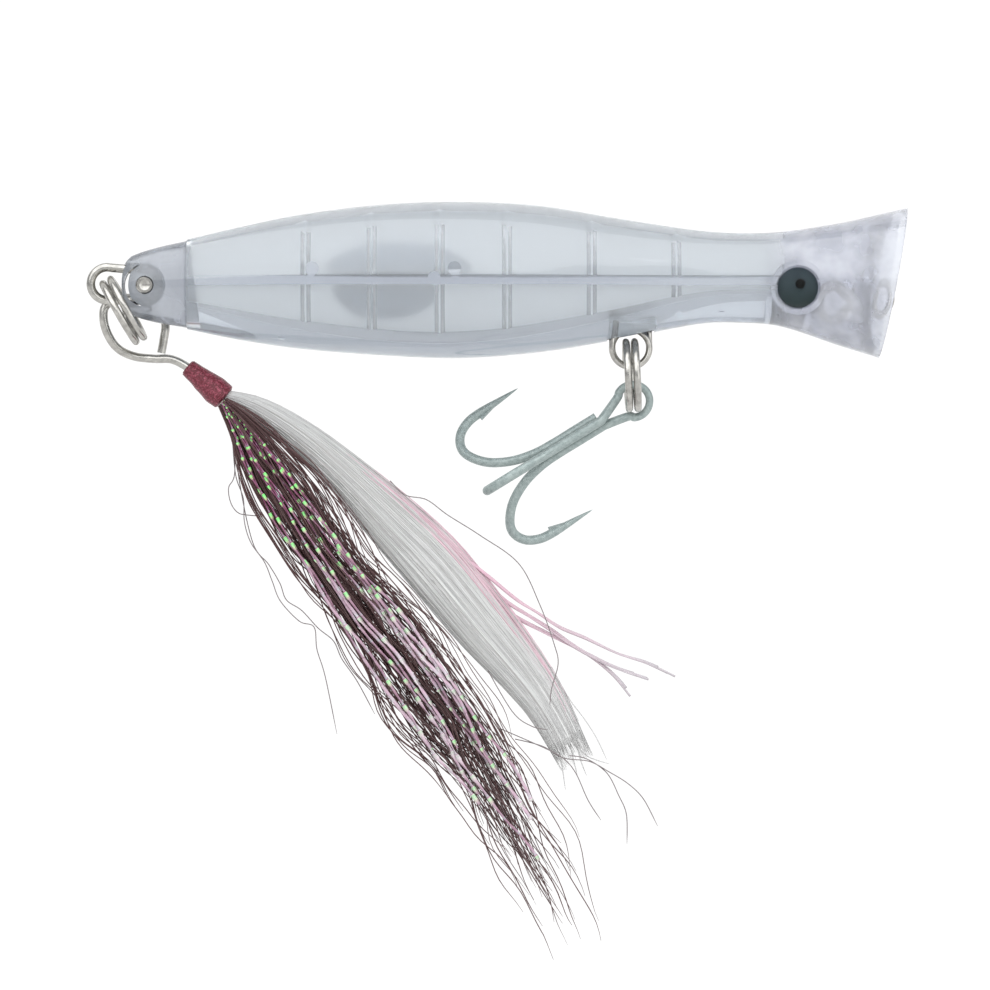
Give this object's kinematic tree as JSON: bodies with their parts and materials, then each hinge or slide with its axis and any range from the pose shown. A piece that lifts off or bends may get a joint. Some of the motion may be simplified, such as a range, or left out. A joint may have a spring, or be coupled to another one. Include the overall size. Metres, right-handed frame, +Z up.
{
  "type": "topwater popper fishing lure",
  "caption": "Clear hard-bodied popper lure with a cupped mouth, a belly treble hook on a split ring and a dressed hair teaser hung from the tail.",
  "frame": {"origin": "centre of the line tie's eye in the mouth cup", "axes": "+X forward out of the mouth, +Y to the lure's left side, +Z up towards its back"},
  "size_m": [0.139, 0.0223, 0.1188],
  "materials": {
    "clear_plastic": "clear moulded plastic with a faint lilac tint, polished outside",
    "stainless_wire": "drawn stainless wire, satin to bright",
    "stainless_ring": "stainless split ring, satin",
    "hook_coating": "matte grey-green corrosion coating",
    "lead": "dull grey cast lead weight",
    "eye_disc": "dark green-grey printed disc",
    "eye_pupil": "black",
    "eye_dome": "clear resin dome",
    "thread": "crimson tying thread under clear varnish",
    "white_hair": "fine white tail hair",
    "dark_hair": "dark brown crinkled fibre",
    "pearl_flash": "pearl tinsel with green glints",
    "pink_fibre": "pale pink crinkled fibre"
  },
  "bodies": {
    "body": {"body_shell_right": "clear_plastic", "body_shell_left": "clear_plastic", "tail_block": "clear_plastic", "tail_cross_pin": "stainless_wire", "tail_hanger": "stainless_wire", "line_tie": "stainless_wire", "belly_hanger": "stainless_wire", "ballast_upper": "lead", "ballast_lower": "lead", "eye_disc_right": "eye_disc", "eye_disc_left": "eye_disc", "eye_pupil_right": "eye_pupil", "eye_pupil_left": "eye_pupil", "eye_dome_right": "eye_dome", "eye_dome_left": "eye_dome"},
    "belly_ring": {"belly_split_ring": "stainless_ring"},
    "treble": {"treble_single_hook": "hook_coating", "treble_double_hook": "hook_coating"},
    "tail_ring": {"tail_split_ring": "stainless_ring"},
    "teaser": {"teaser_wire": "stainless_wire", "thread_wrap": "thread", "white_hair": "white_hair", "dark_hair": "dark_hair", "pearl_flash": "pearl_flash", "pink_strands": "pink_fibre"}
  },
  "joints": [
    {"name": "belly_ring_swing", "type": "hinge", "parent": "body", "child": "belly_ring", "pos_m": [-0.0413, 0, -0.00746], "axis": [0, -1, 0], "range_deg": [-8, 60]},
    {"name": "treble_swing", "type": "hinge", "parent": "belly_ring", "child": "treble", "pos_m": [-0.0407, 0.0034, -0.0174], "axis": [0, -1, 0], "range_deg": [-8, 60]},
    {"name": "tail_ring_swing", "type": "hinge", "parent": "body", "child": "tail_ring", "pos_m": [-0.12999, 0, 0.00281], "axis": [0, 1, 0], "range_deg": [0, 115]},
    {"name": "teaser_swing", "type": "hinge", "parent": "tail_ring", "child": "teaser", "pos_m": [-0.12547, 0.0044, -0.00514], "axis": [0, 1, 0], "range_deg": [0, 18]}
  ]
}
